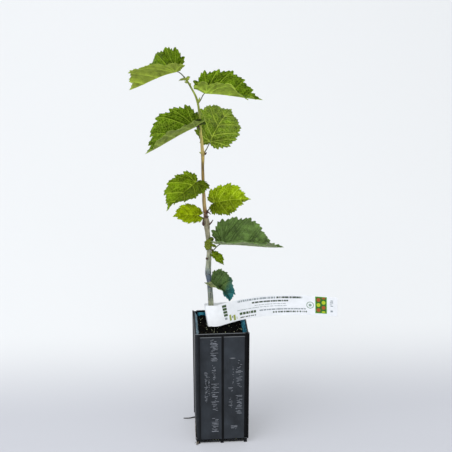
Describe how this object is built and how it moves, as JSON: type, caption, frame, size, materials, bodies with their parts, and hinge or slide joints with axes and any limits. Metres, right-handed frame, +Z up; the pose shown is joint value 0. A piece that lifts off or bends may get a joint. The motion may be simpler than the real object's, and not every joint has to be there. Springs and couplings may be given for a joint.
{
  "type": "hazel sapling with root ball in a square nursery pot",
  "caption": "Young leafy tree with a slim leaning trunk, its soil block in a tall square open-grid plastic pot, and a plain strip label looped round the stem.",
  "frame": {"origin": "middle of the pot's footprint, on the underside of its centre foot, which stands on the ground", "axes": "+Z up the plant, +X to the right along the label, +Y to the back; the pot's sides are parallel to X and Y"},
  "size_m": [0.2832, 0.1285, 0.5628],
  "materials": {
    "pot": "satin",
    "soil": "matte",
    "bark": "matte",
    "leaf": "satin",
    "label": "satin"
  },
  "bodies": {
    "root": {"pot_half_front": "pot", "pot_half_back": "pot", "pot_base": "pot", "root_ball": "soil", "trunk": "bark", "leaf_top_left": "leaf", "leaf_top_right": "leaf", "leaf_upper_left": "leaf", "leaf_upper_right": "leaf", "leaf_middle_left": "leaf", "leaf_middle_right": "leaf", "leaf_small_left": "leaf", "leaf_lower_right": "leaf", "leaf_young_front": "leaf", "leaf_small_hanging": "leaf", "leaf_bottom_right": "leaf", "label": "label"}
  },
  "joints": []
}
